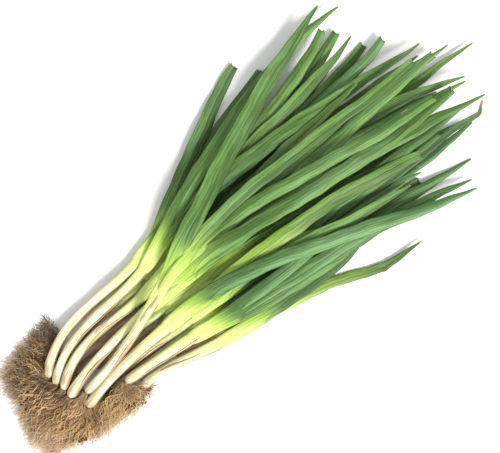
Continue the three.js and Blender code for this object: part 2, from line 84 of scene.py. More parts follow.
# From the bottom of the pile to its top
PLANTS = [
    plant("lower", 0, 4.0, (-199, 24), (-82, 41), (4, -8),
          [leaf(60, 90, 5), leaf(105, 102, 6, torn=True), leaf(89, 121, 4, torn=True)]),
    plant("lower", 1, 4.0, (-197, 13), (-90, 25), (5, 0),
          [leaf(200, 50, 0), leaf(173, 70, -4), leaf(222, 22, 4), leaf(214, -14, 10)]),
    plant("lower", 2, 4.2, (-197, -2), (-89, -7), (3, 1),
          [leaf(170, -34, 4, torn=True), leaf(160, -25, 10), leaf(221, -56, -20),
           leaf(241, -47, 4, kink=(231, -54))]),
    plant("lower", 5, 4.7, (-159, -47), (-72, -63), (8, -1),
          [leaf(150, -76, 12), leaf(118, -108, 14, kink=(76, -106)), leaf(73, -75, -8)]),
    plant("lower", 4, 4.0, (-182, -33), (-84, -38), (2, 1),
          [leaf(150, -66, 0, torn=True), leaf(218, -52, 6), leaf(199, -81, 2)]),
    plant("lower", 3, 4.2, (-196, -22), (-80, -29), (0, 0),
          [leaf(190, -44, 0, torn=True), leaf(222, -40, 4)]),
    plant("upper", 0, 4.2, (-217, 13), (-81, 43), (31, 0),
          [leaf(149, 64, -6), leaf(190, 61, -18, torn=True), leaf(178, 84, -20, torn=True),
           leaf(169, 94, -24, torn=True)]),
    plant("upper", 6, 4.5, (-167, -34), (-86, -44), (1, 2),
          [leaf(88, -71, -10), leaf(147, -83, 4, torn=True), leaf(187, -94, 10), leaf(156, -60, 10)]),
    plant("upper", 1, 4.2, (-215, 4), (-78, 36), (26, -5),
          [leaf(186, 73, -8), leaf(206, 53, -16, torn=True), leaf(228, 29, 6), leaf(194, 101, 26)]),
    plant("upper", 2, 4.2, (-212, -4), (-95, 16), (24, 2),
          [leaf(266, -1, 6), leaf(160, 36, 6), leaf(231, 14, 8, torn=True), leaf(240, -19, 30)]),
    plant("upper", 3, 4.4, (-212, -12), (-95, 3), (8, 4),
          [leaf(245, 12, 6), leaf(237, -23, 12), leaf(241, -43, 12), leaf(220, -21, -14, torn=True)]),
    plant("upper", 5, 4.7, (-207, -29), (-98, -20), (6, 3),
          [leaf(60, -45, 12, torn=True), leaf(165, -48, 18, torn=True), leaf(140, -62, -6),
           leaf(184, -103, 0)]),
    plant("upper", 4, 4.2, (-199, -18), (-92, 8), (-7, -5),
          [leaf(203, -16, -2, torn=True), leaf(210, 20, 2, torn=True), leaf(179, 112, 12)]),
]

FENCES = {
    "lower": [
        ((-197, 30), (-188, 52)), ((-203, 18.5), (-222, 51)), ((-202, 6), (-251, 45)),
        ((-200, -12), (-266, 8)), ((-190.5, -28.5), (-264, -40)), ((-171, -40.5), (-205, -57)),
        ((-156, -51), (-154, -56)),
    ],
    "upper": [
        ((-217, 17.5), (-226, 50)), ((-219, 7), (-256, 30)), ((-216.8, -1.2), (-266, 4)),
        ((-215.3, -9), (-265, -6)), ((-209, -15.5), (-267, -22)), ((-206.3, -23.2), (-265, -37)),
        ((-183, -32.5), (-222, -56)), ((-166, -39.5), (-160, -54)),
    ],
}


def vec(p):
    return np.array(p, float)


def length_of(v):
    return float(np.hypot(v[0], v[1]))


def unit(v):
    return v / length_of(v)


def left_of(v):
    return np.array([-v[1], v[0]])


def smooth(x):
    c = np.clip(x, 0, 1)
    return c * c * (3 - 2 * c)


def mix(a, b, share):
    return a + (b - a) * share


def generator(seed):
    """A repeatable random number from 0 to 1, by the Lehmer generator."""
    state = seed
    while True:
        state = state * 16807 % 2147483647
        yield state / 2147483647


def route(start, control1, control2, end):
    """Points of a Bezier curve in plan, about STEP apart."""
    count = math.floor(length_of(end - start) / STEP + 0.5)
    t = np.linspace(0, 1, count + 1)[:, None]
    return (
        (1 - t) ** 3 * start + 3 * (1 - t) ** 2 * t * control1 + 3 * (1 - t) * t * t * control2 + t**3 * end
    )


def strand(plan, half_sizes):
    """A route with its distances and its half width and half thickness at each point."""
    along = np.concatenate([[0], np.cumsum(np.hypot(*np.diff(plan, axis=0).T))])
    w, t = half_sizes(along, along[-1])
    return {"plan": plan, "s": along, "length": along[-1], "w": w, "t": t}


def shank_half_sizes(r):
    def sizes(s, length):
        bulb = 1 + BULB_SWELL * np.exp(-(((s - BULB_AT) / BULB_SPREAD) ** 2))
        end = np.sqrt(1 - 0.75 * np.clip((ROUNDED_END - s) / ROUNDED_END, 0, 1) ** 2)
        neck = smooth((s - length + NECK_LENGTH) / NECK_LENGTH)
        size = r * bulb * end
        return size * (1 + NECK_WIDEN * neck), size * (1 - NECK_FLATTEN * neck)

    return sizes


def leaf_half_sizes(r, half_width, half_thickness, torn):
    lost = 1 - TORN_SHARE if torn else 1

    def sizes(s, length):
        grown = smooth(s / BASE_LENGTH)
        body = 1 - lost * np.clip((s / length - TAPER_FROM) / (1 - TAPER_FROM), 0, 1) ** TAPER_POWER
        w = mix(BASE_WIDTH * r, half_width, grown) * body + TIP_HALF_WIDTH
        t = mix(BASE_THICKNESS * r, half_thickness, grown) * body + TIP_HALF_THICKNESS
        return w, t

    return sizes


def shank_strand(p):
    bulb, neck = vec(p["bulb"]), vec(p["neck"])
    third = (neck - bulb) / 3
    left = left_of(unit(third))
    plan = route(bulb, bulb + third + left * p["bends"][0], neck - third + left * p["bends"][1], neck)
    return strand(plan, shank_half_sizes(p["r"]))


def leaf_strand(p, one, start, heading, draws):
    end = vec(one["kink"] or one["tip"])
    reach = end - start
    left = left_of(unit(reach))
    control1 = start + heading * 0.3 * length_of(reach)
    control2 = end - reach / 3 + left * one["bow"]
    plan = route(start, control1, control2, end)
    if one["kink"]:
        tip = vec(one["tip"])
        beyond = (tip - end) / 3
        plan = np.concatenate([plan, route(end, end + beyond, tip - beyond, tip)[1:]])
    half_width = LEAF_HALF_WIDTH * (0.9 + 0.22 * next(draws))
    half_thickness = LEAF_HALF_THICKNESS * (0.9 + 0.25 * next(draws))
    made = strand(plan, leaf_half_sizes(p["r"], half_width, half_thickness, one["torn"]))
    made["heading"] = heading
    made["lift"] = TIP_LIFT * next(draws) ** 2
    made["torn"] = one["torn"]
    made["kink"] = one["kink"]
    return made


def supported_heights(way, placed):
    """The lowest height of each point of a way that clears all that is placed."""
    heights = way["t"].copy()
    if not len(placed):
        return heights
    px, py, pz, pw, pt = placed.T
    for i, (x, y) in enumerate(way["plan"]):
        touching = pw + way["w"][i] + CLEAR_BESIDE
        share = 1 - (np.hypot(px - x, py - y) / touching) ** 2
        near = share > 0
        if near.any():
            rises = pz[near] + (pt[near] + way["t"][i] + CLEAR_OVER) * np.sqrt(share[near])
            heights[i] = max(heights[i], rises.max())
    return heights


def spread(heights):
    """Heights raised until no slope is steeper than MAX_SLOPE."""
    count = len(heights)
    wide = np.array([heights[max(0, i - REACH) : i + REACH + 1].max() for i in range(count)])
    for i in range(1, count):
        wide[i] = max(wide[i], wide[i - 1] - MAX_SLOPE * STEP)
    for i in range(count - 2, -1, -1):
        wide[i] = max(wide[i], wide[i + 1] - MAX_SLOPE * STEP)
    return wide


def soften(heights):
    offsets = np.arange(-REACH, REACH + 1)
    weights = REACH + 1 - np.abs(offsets)
    at = np.clip(np.arange(len(heights))[:, None] + offsets, 0, len(heights) - 1)
    return (heights[at] * weights).sum(1) / weights.sum()


def samples_of(one):
    return np.column_stack([one["plan"], one["z"], one["w"], one["t"]])


def joined(shank, one):
    return {key: np.concatenate([shank[key], one[key][1:]]) for key in ("plan", "w", "t")}


def way_heights(p, way, placed):
    heights = supported_heights(way, placed)
    if p["layer"] == "upper":
        bed = BED_HEIGHT * smooth((BED_EDGE - way["plan"][:, 0]) / BED_RAMP)
        heights = np.maximum(heights, bed + way["t"])
    return spread(heights)


def settle(p, shank, leaves, placed):
    """Lets one plant down on those below it, and returns all that is placed, with the plant."""
    neck_at = len(shank["plan"]) - 1
    ways = [way_heights(p, joined(shank, one), placed) for one in leaves]
    common = np.max([way[: neck_at + 1] for way in ways], axis=0)
    softened = [soften(np.concatenate([common, way[neck_at + 1 :]])) for way in ways]
    shank["z"] = np.max([way[: neck_at + 1] for way in softened], axis=0)
    own = np.zeros((0, 5))
    for one, way in zip(leaves, softened):
        free = way[neck_at:]
        s = one["s"]
        z = free + (shank["z"][neck_at] - free[0]) * (1 - smooth(s / NECK_FADE))
        if len(own):
            over_own = soften(spread(supported_heights(one, own)))
            z = z + np.maximum(0, over_own - z) * smooth(s / PARTING_LENGTH)
        one["z"] = z + one["lift"] * np.clip((s / one["length"] - 0.4) / 0.6, 0, 1) ** 2
        own = np.concatenate([own, samples_of(one)])
    return np.concatenate([placed, samples_of(shank), own])


def lay_out():
    """Every plant with its shank and leaves, from the bottom of the pile to its top."""
    draws = generator(SEED)
    placed = np.zeros((0, 5))
    laid = []
    for p in PLANTS:
        shank = shank_strand(p)
        neck = shank["plan"][-1]
        heading = unit(neck - shank["plan"][-2])
        middle = (len(p["leaves"]) - 1) / 2
        leaves = []
        for k, one in enumerate(p["leaves"]):
            start = neck + heading * NECK_GAP + left_of(heading) * (k - middle) * LEAF_SPACING
            leaves.append(leaf_strand(p, one, start, heading, draws))
        placed = settle(p, shank, leaves, placed)
        laid.append((p, shank, leaves))
    return laid


# ----------------------------------------------------------------------
# Meshes
# ----------------------------------------------------------------------


def lines_through(s, values, at):
    """Smooth curves through rows of values given at distances s, read at the distances at."""
    tangents = np.gradient(values, s, axis=0)
    i = np.clip(np.searchsorted(s, at, side="right") - 1, 0, len(s) - 2)
    step = (s[i + 1] - s[i])[:, None]
    u = (at - s[i])[:, None] / step
    return (
        (2 * u**3 - 3 * u**2 + 1) * values[i]
        + (u**3 - 2 * u**2 + u) * step * tangents[i]
        + (3 * u**2 - 2 * u**3) * values[i + 1]
        + (u**3 - u**2) * step * tangents[i + 1]
    )


# A full turn, near enough for random phases
TURN = 6.28


def waves(s, rng, *terms):
    """A gentle random wave along s: each term is (wavelength, height)."""
    total = np.zeros(np.shape(s))
    for wavelength, height in terms:
        phase, stretch = rng.uniform(0, 2 * math.pi), rng.uniform(0.8, 1.25)
        total = total + height * np.sin(2 * math.pi * s / (wavelength * stretch) + phase)
    return total


class Shape:
    """Gathers tubes and lumps into one mesh, with named numbers kept at every vertex."""

    def __init__(self, *names):
        self.names = names
        self.points, self.quads, self.triangles = [], [], []
        self.values = {name: [] for name in names}
        self.count = 0

    def add(self, points, quads=None, triangles=None, **values):
        points = np.asarray(points, float).reshape(-1, 3)
        if quads is not None:
            self.quads.append(np.asarray(quads, int) + self.count)
        if triangles is not None:
            self.triangles.append(np.asarray(triangles, int) + self.count)
        for name in self.names:
            value = np.broadcast_to(np.asarray(values.get(name, 0.0), float), (len(points),))
            self.values[name].append(value)
        self.points.append(points)
        self.count += len(points)

    def tube(self, rings, **values):
        """Rings of points, each from its left side over the top, closed at both ends.
        A value is one number, one for each ring, or one for each point."""
        n, k = rings.shape[:2]
        a = np.arange(n - 1)[:, None] * k + np.arange(k)
        b = np.arange(n - 1)[:, None] * k + (np.arange(k) + 1) % k
        quads = np.stack([a, b, b + k, a + k], -1).reshape(-1, 4)
        around, after = np.arange(k), (np.arange(k) + 1) % k
        first = np.column_stack([np.full(k, n * k), after, around])
        last = np.column_stack([np.full(k, n * k + 1), (n - 1) * k + around, (n - 1) * k + after])
        points = np.concatenate([rings.reshape(-1, 3), [rings[0].mean(0)], [rings[-1].mean(0)]])
        full = {}
        for name, value in values.items():
            value = np.asarray(value, float)
            grid = np.broadcast_to(value[:, None] if value.ndim == 1 else value, (n, k))
            full[name] = np.concatenate([grid.reshape(-1), [grid[0].mean()], [grid[-1].mean()]])
        self.add(points, quads, np.concatenate([first, last]), **full)

    def object(self, name, material):
        points = np.concatenate(self.points)
        points[:, 0] -= PLAN_CENTRE[0]
        points[:, 1] -= PLAN_CENTRE[1]
        points[:, 2] = np.maximum(points[:, 2] - SETTLE, 0.02)
        quads = np.concatenate(self.quads) if self.quads else np.zeros((0, 4), int)
        triangles = np.concatenate(self.triangles) if self.triangles else np.zeros((0, 3), int)
        mesh = bpy.data.meshes.new(name)
        mesh.vertices.add(len(points))
        mesh.vertices.foreach_set("co", (points / 1000).astype(np.float32).ravel())
        corners = np.concatenate([quads.ravel(), triangles.ravel()])
        sizes = np.concatenate([np.full(len(quads), 4), np.full(len(triangles), 3)])
        mesh.loops.add(len(corners))
        mesh.loops.foreach_set("vertex_index", corners.astype(np.int32))
        mesh.polygons.add(len(sizes))
        mesh.polygons.foreach_set("loop_start", np.concatenate([[0], np.cumsum(sizes)[:-1]]).astype(np.int32))
        mesh.update(calc_edges=True)
        mesh.polygons.foreach_set("use_smooth", np.ones(len(sizes), bool))
        for key in self.names:
            attribute = mesh.attributes.new(key, "FLOAT", "POINT")
            attribute.data.foreach_set("value", np.concatenate(self.values[key]).astype(np.float32))
        mesh.materials.append(material)
        made = bpy.data.objects.new(name, mesh)
        bpy.context.scene.collection.objects.link(made)
        return made


def across_of(plan):
    """Unit vectors to the left of a plan line at each of its points."""
    ahead = np.gradient(plan, axis=0)
    ahead /= np.hypot(ahead[:, 0], ahead[:, 1])[:, None]
    return np.column_stack([-ahead[:, 1], ahead[:, 0]])


def rings_of(plan, z, u, v, roll):
    """Rings of points whose offsets across and up are u and v, turned about the line by roll."""
    left = across_of(plan)
    cos, sin = np.cos(roll)[:, None], np.sin(roll)[:, None]
    across, up = u * cos - v * sin, u * sin + v * cos
    x = plan[:, 0:1] + left[:, 0:1] * across
    y = plan[:, 1:2] + left[:, 1:2] * across
    return np.stack([x, y, z[:, None] + up], -1)


# ----------------------------------------------------------------------
# Materials
# ----------------------------------------------------------------------


class Look:
    """A material's nodes, made one after another."""

    def __init__(self, name):
        self.material = bpy.data.materials.new(name)
        self.material.use_nodes = True
        self.tree = self.material.node_tree
        self.tree.nodes.clear()
        self.output = self.tree.nodes.new("ShaderNodeOutputMaterial")
        self.shader = self.tree.nodes.new("ShaderNodeBsdfPrincipled")
        self.tree.links.new(self.shader.outputs[0], self.output.inputs[0])

    def put(self, socket, value):
        if isinstance(value, bpy.types.NodeSocket):
            self.tree.links.new(value, socket)
        elif hasattr(socket.default_value, "__len__") and len(value) == 3 and len(socket.default_value) == 4:
            socket.default_value = (*value, 1.0)
        else:
            socket.default_value = value

    def set(self, **values):
        for name, value in values.items():
            self.put(self.shader.inputs[name.replace("_", " ")], value)

    def number(self, name):
        node = self.tree.nodes.new("ShaderNodeAttribute")
        node.attribute_name = name
        return node.outputs["Fac"]

    def place(self):
        return self.tree.nodes.new("ShaderNodeTexCoord").outputs["Object"]

    def math(self, operation, a, b=0.0):
        node = self.tree.nodes.new("ShaderNodeMath")
        node.operation = operation
        self.put(node.inputs[0], a)
        self.put(node.inputs[1], b)
        return node.outputs[0]

    def ease(self, value, low, high, to_low=0.0, to_high=1.0):
        node = self.tree.nodes.new("ShaderNodeMapRange")
        node.interpolation_type = "SMOOTHSTEP"
        for socket, given in zip(node.inputs, (value, low, high, to_low, to_high)):
            self.put(socket, given)
        return node.outputs[0]

    def mix(self, share, a, b):
        node = self.tree.nodes.new("ShaderNodeMix")
        node.data_type = "RGBA"
        self.put(node.inputs[0], share)
        self.put(node.inputs[6], a)
        self.put(node.inputs[7], b)
        return node.outputs[2]

    def vector(self, x, y, z):
        node = self.tree.nodes.new("ShaderNodeCombineXYZ")
        for socket, value in zip(node.inputs, (x, y, z)):
            self.put(socket, value)
        return node.outputs[0]

    def noise(self, vector, scale, detail=2.0):
        node = self.tree.nodes.new("ShaderNodeTexNoise")
        self.put(node.inputs["Vector"], vector)
        node.inputs["Scale"].default_value = scale
        node.inputs["Detail"].default_value = detail
        return node.outputs[0]

    def grain(self, s, u, seed, along, across, detail):
        """Noise drawn out lengthwise: along and across are how often it changes in s and in u."""
        s, u = self.math("MULTIPLY", s, along), self.math("MULTIPLY", u, across)
        return self.noise(self.vector(s, u, seed), 1.0, detail)

    def bump(self, height, strength, distance):
        node = self.tree.nodes.new("ShaderNodeBump")
        node.inputs["Strength"].default_value = strength
        node.inputs["Distance"].default_value = distance
        self.put(node.inputs["Height"], height)
        self.put(self.shader.inputs["Normal"], node.outputs[0])


def leaf_look(name, dark, bright, blue, olive):
    """Leaf green from the neck's lime to the blade's own green, with long streaks, veins, bloom and dry ends,
    with painted light on one half of the blade's fold, painted shade on the other, and painted shade along
    the fold and the edges. s is the distance from the neck in cm, u the place across, ridge the place across
    from the fold, towards the half with painted light, and tint, hue, pale and dry are set by the mesh."""
    look = Look(name)
    s, u, tint, hue = look.number("s"), look.number("u"), look.number("tint"), look.number("hue")
    ridge, pale, dry = look.number("ridge"), look.number("pale"), look.number("dry")
    seed = look.math("MULTIPLY", tint, 57.0)
    streak = look.grain(s, u, seed, 0.3, 3.2, 3.0)
    patch = look.grain(s, u, seed, 0.3, 0.5, 2.0)
    fine = look.grain(s, u, seed, 0.4, 6.0, 3.0)
    green = look.mix(tint, dark, bright)
    green = look.mix(look.ease(hue, -1.0, 0.0, 0.85, 0.0), green, blue)
    green = look.mix(look.ease(hue, 0.0, 1.0, 0.0, 0.85), green, olive)
    green = look.mix(look.ease(patch, 0.45, 0.72, 0.0, 0.5), green, blue)
    # painted shade on one half of the fold and painted light on the other
    green = look.mix(look.ease(ridge, -0.1, 0.06, 0.6, 0.0), green, tuple(0.6 * c for c in dark))
    green = look.mix(look.ease(ridge, 0.0, 0.7, 0.0, 0.3), green, tuple(1.25 * c for c in bright))
    green = look.mix(look.ease(streak, 0.45, 0.68, 0.0, 0.5), green, bright)
    green = look.mix(look.ease(fine, 0.4, 0.54, 0.5, 0.0), green, tuple(0.5 * c for c in dark))
    # painted shade along the fold and at the edges, where leaves meet
    painted_crease_shade = look.ease(look.math("ABSOLUTE", ridge), 0.02, 0.13, 0.5, 0.0)
    edge = look.ease(look.math("ABSOLUTE", u), 0.84, 1.0, 0.0, 0.6)
    painted_shade_lines = look.math("MAXIMUM", painted_crease_shade, edge)
    green = look.mix(painted_shade_lines, green, tuple(0.4 * c for c in dark))
    # from white-green at the neck, through lime, to the blade's green
    reach = look.math("DIVIDE", s, pale)
    reach = look.math("ADD", reach, look.math("MULTIPLY", look.math("SUBTRACT", streak, 0.5), 0.7))
    lime = look.mix(look.ease(reach, 0.0, 0.5), (0.77, 0.85, 0.3), (0.48, 0.7, 0.12))
    lime = look.mix(look.ease(fine, 0.4, 0.6, 0.5, 0.0), lime, (0.24, 0.4, 0.05))
    # the same painted shade along the fold and the edges, on the lime
    lime = look.mix(look.math("MULTIPLY", painted_shade_lines, 0.95), lime, (0.13, 0.2, 0.02))
    colour = look.mix(look.ease(reach, 0.3, 1.1), lime, green)
    straw = look.mix(look.ease(fine, 0.35, 0.65), (0.22, 0.16, 0.09), (0.46, 0.38, 0.2))
    colour = look.mix(look.ease(dry, 0.35, 0.85), colour, straw)
    rough = look.ease(patch, 0.3, 0.7, 0.42, 0.58)
    look.set(Base_Color=colour, Roughness=rough)
    look.shader.inputs["Specular IOR Level"].default_value = 0.26
    look.bump(fine, 0.35, 0.0008)
    return look.material


def shank_look(name):
    """A white, lined shank: stained at the root end, cream, then lime at the neck. s is the distance from
    the root end in cm, left the distance to the neck in cm and u the place round it. low marks its sides and
    underside, more on its right, which get painted shade; shade marks what lies under others, painted shade
    too; skin marks dry papery bits and stain old dirt."""
    look = Look(name)
    s, left, u, tint = look.number("s"), look.number("left"), look.number("u"), look.number("tint")
    skin, stain = look.number("skin"), look.number("stain")
    low, shade = look.number("low"), look.number("shade")
    seed = look.math("MULTIPLY", tint, 57.0)
    line = look.grain(s, u, seed, 0.16, 2.6, 4.0)
    blot = look.grain(s, u, seed, 0.9, 1.6, 3.0)
    white = look.mix(tint, (0.94, 0.91, 0.73), (0.95, 0.94, 0.85))
    cream = look.mix(look.ease(blot, 0.35, 0.7), white, (0.84, 0.76, 0.44))
    lined = look.mix(look.ease(line, 0.5, 0.58, 0.0, 0.85), cream, (0.56, 0.57, 0.2))
    lined = look.mix(look.ease(line, 0.36, 0.45, 0.85, 0.0), lined, (0.55, 0.38, 0.19))
    near = look.math("ADD", left, look.math("MULTIPLY", look.math("SUBTRACT", line, 0.5), 5.0))
    lime = look.mix(look.ease(near, -0.5, 3.5), (0.6, 0.71, 0.17), (0.76, 0.78, 0.36))
    colour = look.mix(look.ease(near, 2.2, 7.0), lime, lined)
    brown = look.mix(look.ease(line, 0.4, 0.6), (0.3, 0.19, 0.1), (0.6, 0.44, 0.25))
    dirty = look.math("MULTIPLY", look.ease(blot, 0.34, 0.6), stain)
    colour = look.mix(dirty, colour, (0.42, 0.3, 0.17))
    # painted shade on the sides, undersides and lower plants, where the others shade them
    painted_shade = look.mix(look.ease(near, 1.0, 6.0), (0.16, 0.2, 0.03), (0.24, 0.16, 0.075))
    colour = look.mix(look.math("MULTIPLY", low, look.ease(blot, 0.2, 0.6, 0.7, 1.0)), colour, painted_shade)
    colour = look.mix(look.math("MULTIPLY", shade, look.ease(blot, 0.2, 0.6, 0.6, 1.0)), colour, painted_shade)
    colour = look.mix(look.math("MULTIPLY", skin, look.ease(blot, 0.25, 0.5)), colour, brown)
    look.set(Base_Color=colour, Roughness=look.ease(blot, 0.3, 0.7, 0.34, 0.5))
    look.shader.inputs["Specular IOR Level"].default_value = 0.5
    look.bump(line, 0.3, 0.0005)
    return look.material


def root_look(name):
    """Fine dry roots: each has its own tint, and they are darker and greyer close to the bulbs. The mat under
    them is darker still, and there are crumbs of soil."""
    look = Look(name)
    tint, out, crumb = look.number("tint"), look.number("out"), look.number("crumb")
    grain = look.noise(look.place(), 700.0, 3.0)
    tan = look.mix(look.ease(tint, 0.0, 0.9), (0.11, 0.06, 0.025), (0.76, 0.5, 0.23))
    tan = look.mix(look.ease(tint, 0.93, 1.0), tan, (0.92, 0.76, 0.5))
    tan = look.mix(look.ease(out, 0.4, 1.0, 0.0, 0.55), tan, (0.88, 0.68, 0.46))
    tan = look.mix(look.ease(tint, -0.5, 0.0, 1.0, 0.0), tan, (0.07, 0.038, 0.016))
    tan = look.mix(look.ease(grain, 0.35, 0.6, 0.3, 0.0), tan, (0.12, 0.065, 0.028))
    near = look.mix(0.55, tan, (0.08, 0.052, 0.045))
    colour = look.mix(look.ease(out, 0.08, 0.42), near, tan)
    colour = look.mix(crumb, colour, look.mix(grain, (0.06, 0.046, 0.038), (0.27, 0.21, 0.17)))
    look.set(Base_Color=colour, Roughness=0.85)
    look.shader.inputs["Specular IOR Level"].default_value = 0.2
    return look.material


# ----------------------------------------------------------------------
# Leaves
# ----------------------------------------------------------------------

LEAF_SIDES = 20
LEAF_STEP = 2.2
LEAF_ANGLES = np.arange(LEAF_SIDES) / LEAF_SIDES * 2 * math.pi
# A leaf's base goes back inside the shank: distances back, and the shares of its offset, width and thickness
# that are left there
TAIL_BACK = np.array([24.0, 16.0, 10.0, 5.0])
TAIL_ASIDE = np.array([0.1, 0.45, 0.75, 0.92])
TAIL_WIDTHS = np.array([0.55, 0.75, 0.9, 0.98])
TAIL_THICKNESSES = np.array([0.5, 0.75, 0.92, 1.0])
# A torn end is split over this length, and its strips reach out or fall short by up to SPLIT_REACH
SPLIT_LENGTH, SPLIT_REACH, SPLIT_SHORT = 11, 1.9, 0.6
FOLD_LENGTH = 5


def leaf_section(s, rng):
    """Offsets across and up, in half widths and half thicknesses, at each distance s: a flattened tube whose
    upper face has a ridge or a channel along it, off to one side."""
    cos, sin = np.cos(LEAF_ANGLES), np.sin(LEAF_ANGLES)
    u = np.sign(cos) * np.abs(cos) ** 0.85
    centre = rng.uniform(-0.3, 0.3) + waves(s, rng, (170, 0.12))[:, None]
    round_top = (1 - np.abs(u) ** 2.4) ** 0.5
    far = np.abs(u - centre) / (1 + np.abs(centre))
    tent = np.clip(1.15 * (1 - far**1.1), 0, None)
    share = np.clip(rng.uniform(0.2, 0.95) + waves(s, rng, (150, 0.15)), 0, 1)[:, None]
    channel = rng.choice([0.0, 0.0, 0.35, 0.5]) * smooth((s - 40) / 60)[:, None]
    top = (mix(round_top, tent, share) - channel * np.exp(-(((u - centre) / 0.35) ** 2))) * round_top**0.35
    bottom = -0.9 * round_top**0.8 * np.ones_like(centre)
    grown = smooth((s - 5) / 60)[:, None]
    v = np.where(sin >= 0, mix(round_top, top, grown), bottom)
    return np.broadcast_to(u, v.shape), v, mix(1.0, u - centre, grown)


def add_leaf(shape, shank, one, tone, aside, breadth, rng):
    """One leaf, from its base, carried back inside the shank, to its tip. tone is its entry in TONES."""
    length = one["length"]
    values = np.column_stack([one["plan"], one["z"]])
    shank_values = np.column_stack([shank["plan"], shank["z"]])
    tail = lines_through(shank["s"], shank_values, shank["length"] - TAIL_BACK)
    tail[:, :2] += (values[0, :2] - shank["plan"][-1]) * TAIL_ASIDE[:, None]
    s_in = np.concatenate([-TAIL_BACK, one["s"]])
    values = np.concatenate([tail, values])
    w_in = np.concatenate([one["w"][0] * TAIL_WIDTHS, one["w"]])
    t_in = np.concatenate([one["t"][0] * TAIL_THICKNESSES, one["t"]])
    count = int((length + TAIL_BACK[0]) / LEAF_STEP)
    s = np.linspace(-TAIL_BACK[0], length, count + 1)
    line = lines_through(s_in, values, s)
    w = np.interp(s, s_in, w_in) * (1 + waves(s, rng, (60, 0.03), (23, 0.02)) * smooth(s / 60))
    t = np.interp(s, s_in, t_in)
    w = w * mix(1, breadth, smooth(s / 50))
    free = smooth((s - 30) / 80)
    line[:, :2] += across_of(line[:, :2]) * (waves(s, rng, (75, 0.5), (31, 0.2)) * free)[:, None]
    at, over, by = aside
    line[:, :2] += across_of(line[:, :2]) * (by * np.exp(-(((s - at) / over) ** 2)))[:, None]
    u, v, ridge = leaf_section(s, rng)
    roll = np.radians(waves(s, rng, (260, 12), (120, 7)) * free)
    if one["torn"]:
        # the same strips show on the upper and the lower face
        ragged = rng.uniform(-1, 1, LEAF_SIDES // 2 + 1)
        ragged = np.concatenate([ragged, ragged[-2:0:-1]])
        split = np.clip((s - (length - SPLIT_LENGTH)) / SPLIT_LENGTH, 0, 1)
        pull = split[:, None] * (SPLIT_REACH * ragged - SPLIT_SHORT)[None, :]
        t = t * (1 - 0.45 * np.clip((s - (length - 12)) / 12, 0, 1))
    else:
        pull = np.zeros((len(s), LEAF_SIDES))
    if one["kink"]:
        fold = length - length_of(one["plan"][-1] - vec(one["kink"]))
        bend = np.exp(-(((s - fold) / FOLD_LENGTH) ** 2))
        w, t = w * (1 + 0.15 * bend), t * (1 - 0.5 * bend)
    rings = rings_of(line[:, :2], line[:, 2], u * w[:, None], v * t[:, None], roll)
    ahead = np.gradient(line, axis=0)
    ahead /= np.linalg.norm(ahead, axis=1)[:, None]
    rings = rings + ahead[:, None, :] * pull[:, :, None]
    tint, hue, pale, tip = tone
    dry = np.clip(1 - (length - s) / tip, 0, 1) * (0.35 if one["torn"] else 1.0)
    # which half of the fold gets painted light and which gets painted shade
    side = rng.choice([-1.0, 1.0])
    shape.tube(rings, s=s / 10, u=u, ridge=ridge * side, tint=tint, hue=hue, pale=pale, dry=dry)


# Some leaves' tones, by plant and leaf: brightness, hue from blue-green at -1 to olive at 1, length in cm
# over which the neck's lime fades, and length in mm of the dry tip
TONES = {
    "01a": (0.5, 0.5, 5.0, 1.0), "01b": (0.3, 0.6, 4.0, 1.0), "01c": (0.45, 0.3, 5.0, 1.0),
    "03a": (0.9, 0.3, 17.0, 1.0), "03b": (0.8, 0.2, 15.0, 1.0), "03c": (0.95, -0.9, 14.0, 1.0),
    "03d": (0.8, -0.4, 11.0, 14.0), "04a": (0.6, -0.7, 5.5, 1.0), "04b": (0.9, 0.9, 14.0, 9.0),
    "04c": (0.7, -0.5, 5.5, 1.0), "05a": (0.4, -0.3, 3.2, 1.0), "05b": (0.2, -0.5, 3.0, 1.0),
    "05c": (0.5, -0.2, 3.2, 1.0), "06a": (0.3, 0.0, 6.0, 1.0), "06b": (0.4, -0.5, 6.0, 1.0),
    "07a": (0.3, 0.2, 2.3, 1.0), "07b": (0.2, 0.4, 2.6, 1.0), "07c": (0.15, 0.1, 2.0, 1.0),
    "07d": (0.35, 0.3, 2.2, 1.0), "08a": (0.4, -0.2, 4.2, 1.0), "08b": (0.4, -0.8, 3.6, 1.0),
    "08c": (0.5, -0.4, 3.8, 1.0), "08d": (0.35, -0.6, 3.2, 1.0), "09a": (0.5, 0.3, 3.2, 1.0),
    "09b": (0.75, -0.9, 3.8, 1.0), "09c": (0.4, 0.1, 3.2, 1.0), "09d": (0.6, 0.3, 3.8, 1.0),
    "10d": (0.8, 0.1, 8.0, 1.0), "11a": (0.75, -0.2, 9.0, 1.0), "12a": (0.35, 0.1, 6.0, 1.0),
    "12b": (0.95, 0.4, 16.0, 1.0), "12c": (0.5, 0.2, 6.0, 1.0), "12d": (0.6, -0.7, 4.0, 2.0),
    "13a": (0.6, 0.1, 8.0, 1.0), "13b": (0.5, 0.3, 7.5, 1.0), "13c": (0.25, 0.1, 5.5, 1.0),
}

# Some leaves lie a little aside: where, over what length, and how far to the left
ASIDE = {"04b": (155, 14, 2.2), "11d": (66, 34, 3.2), "13a": (60, 30, -1.2)}
# How broad some leaves are against the rest
BREADTHS = {"03c": 1.12, "04b": 0.74, "13c": 1.22}


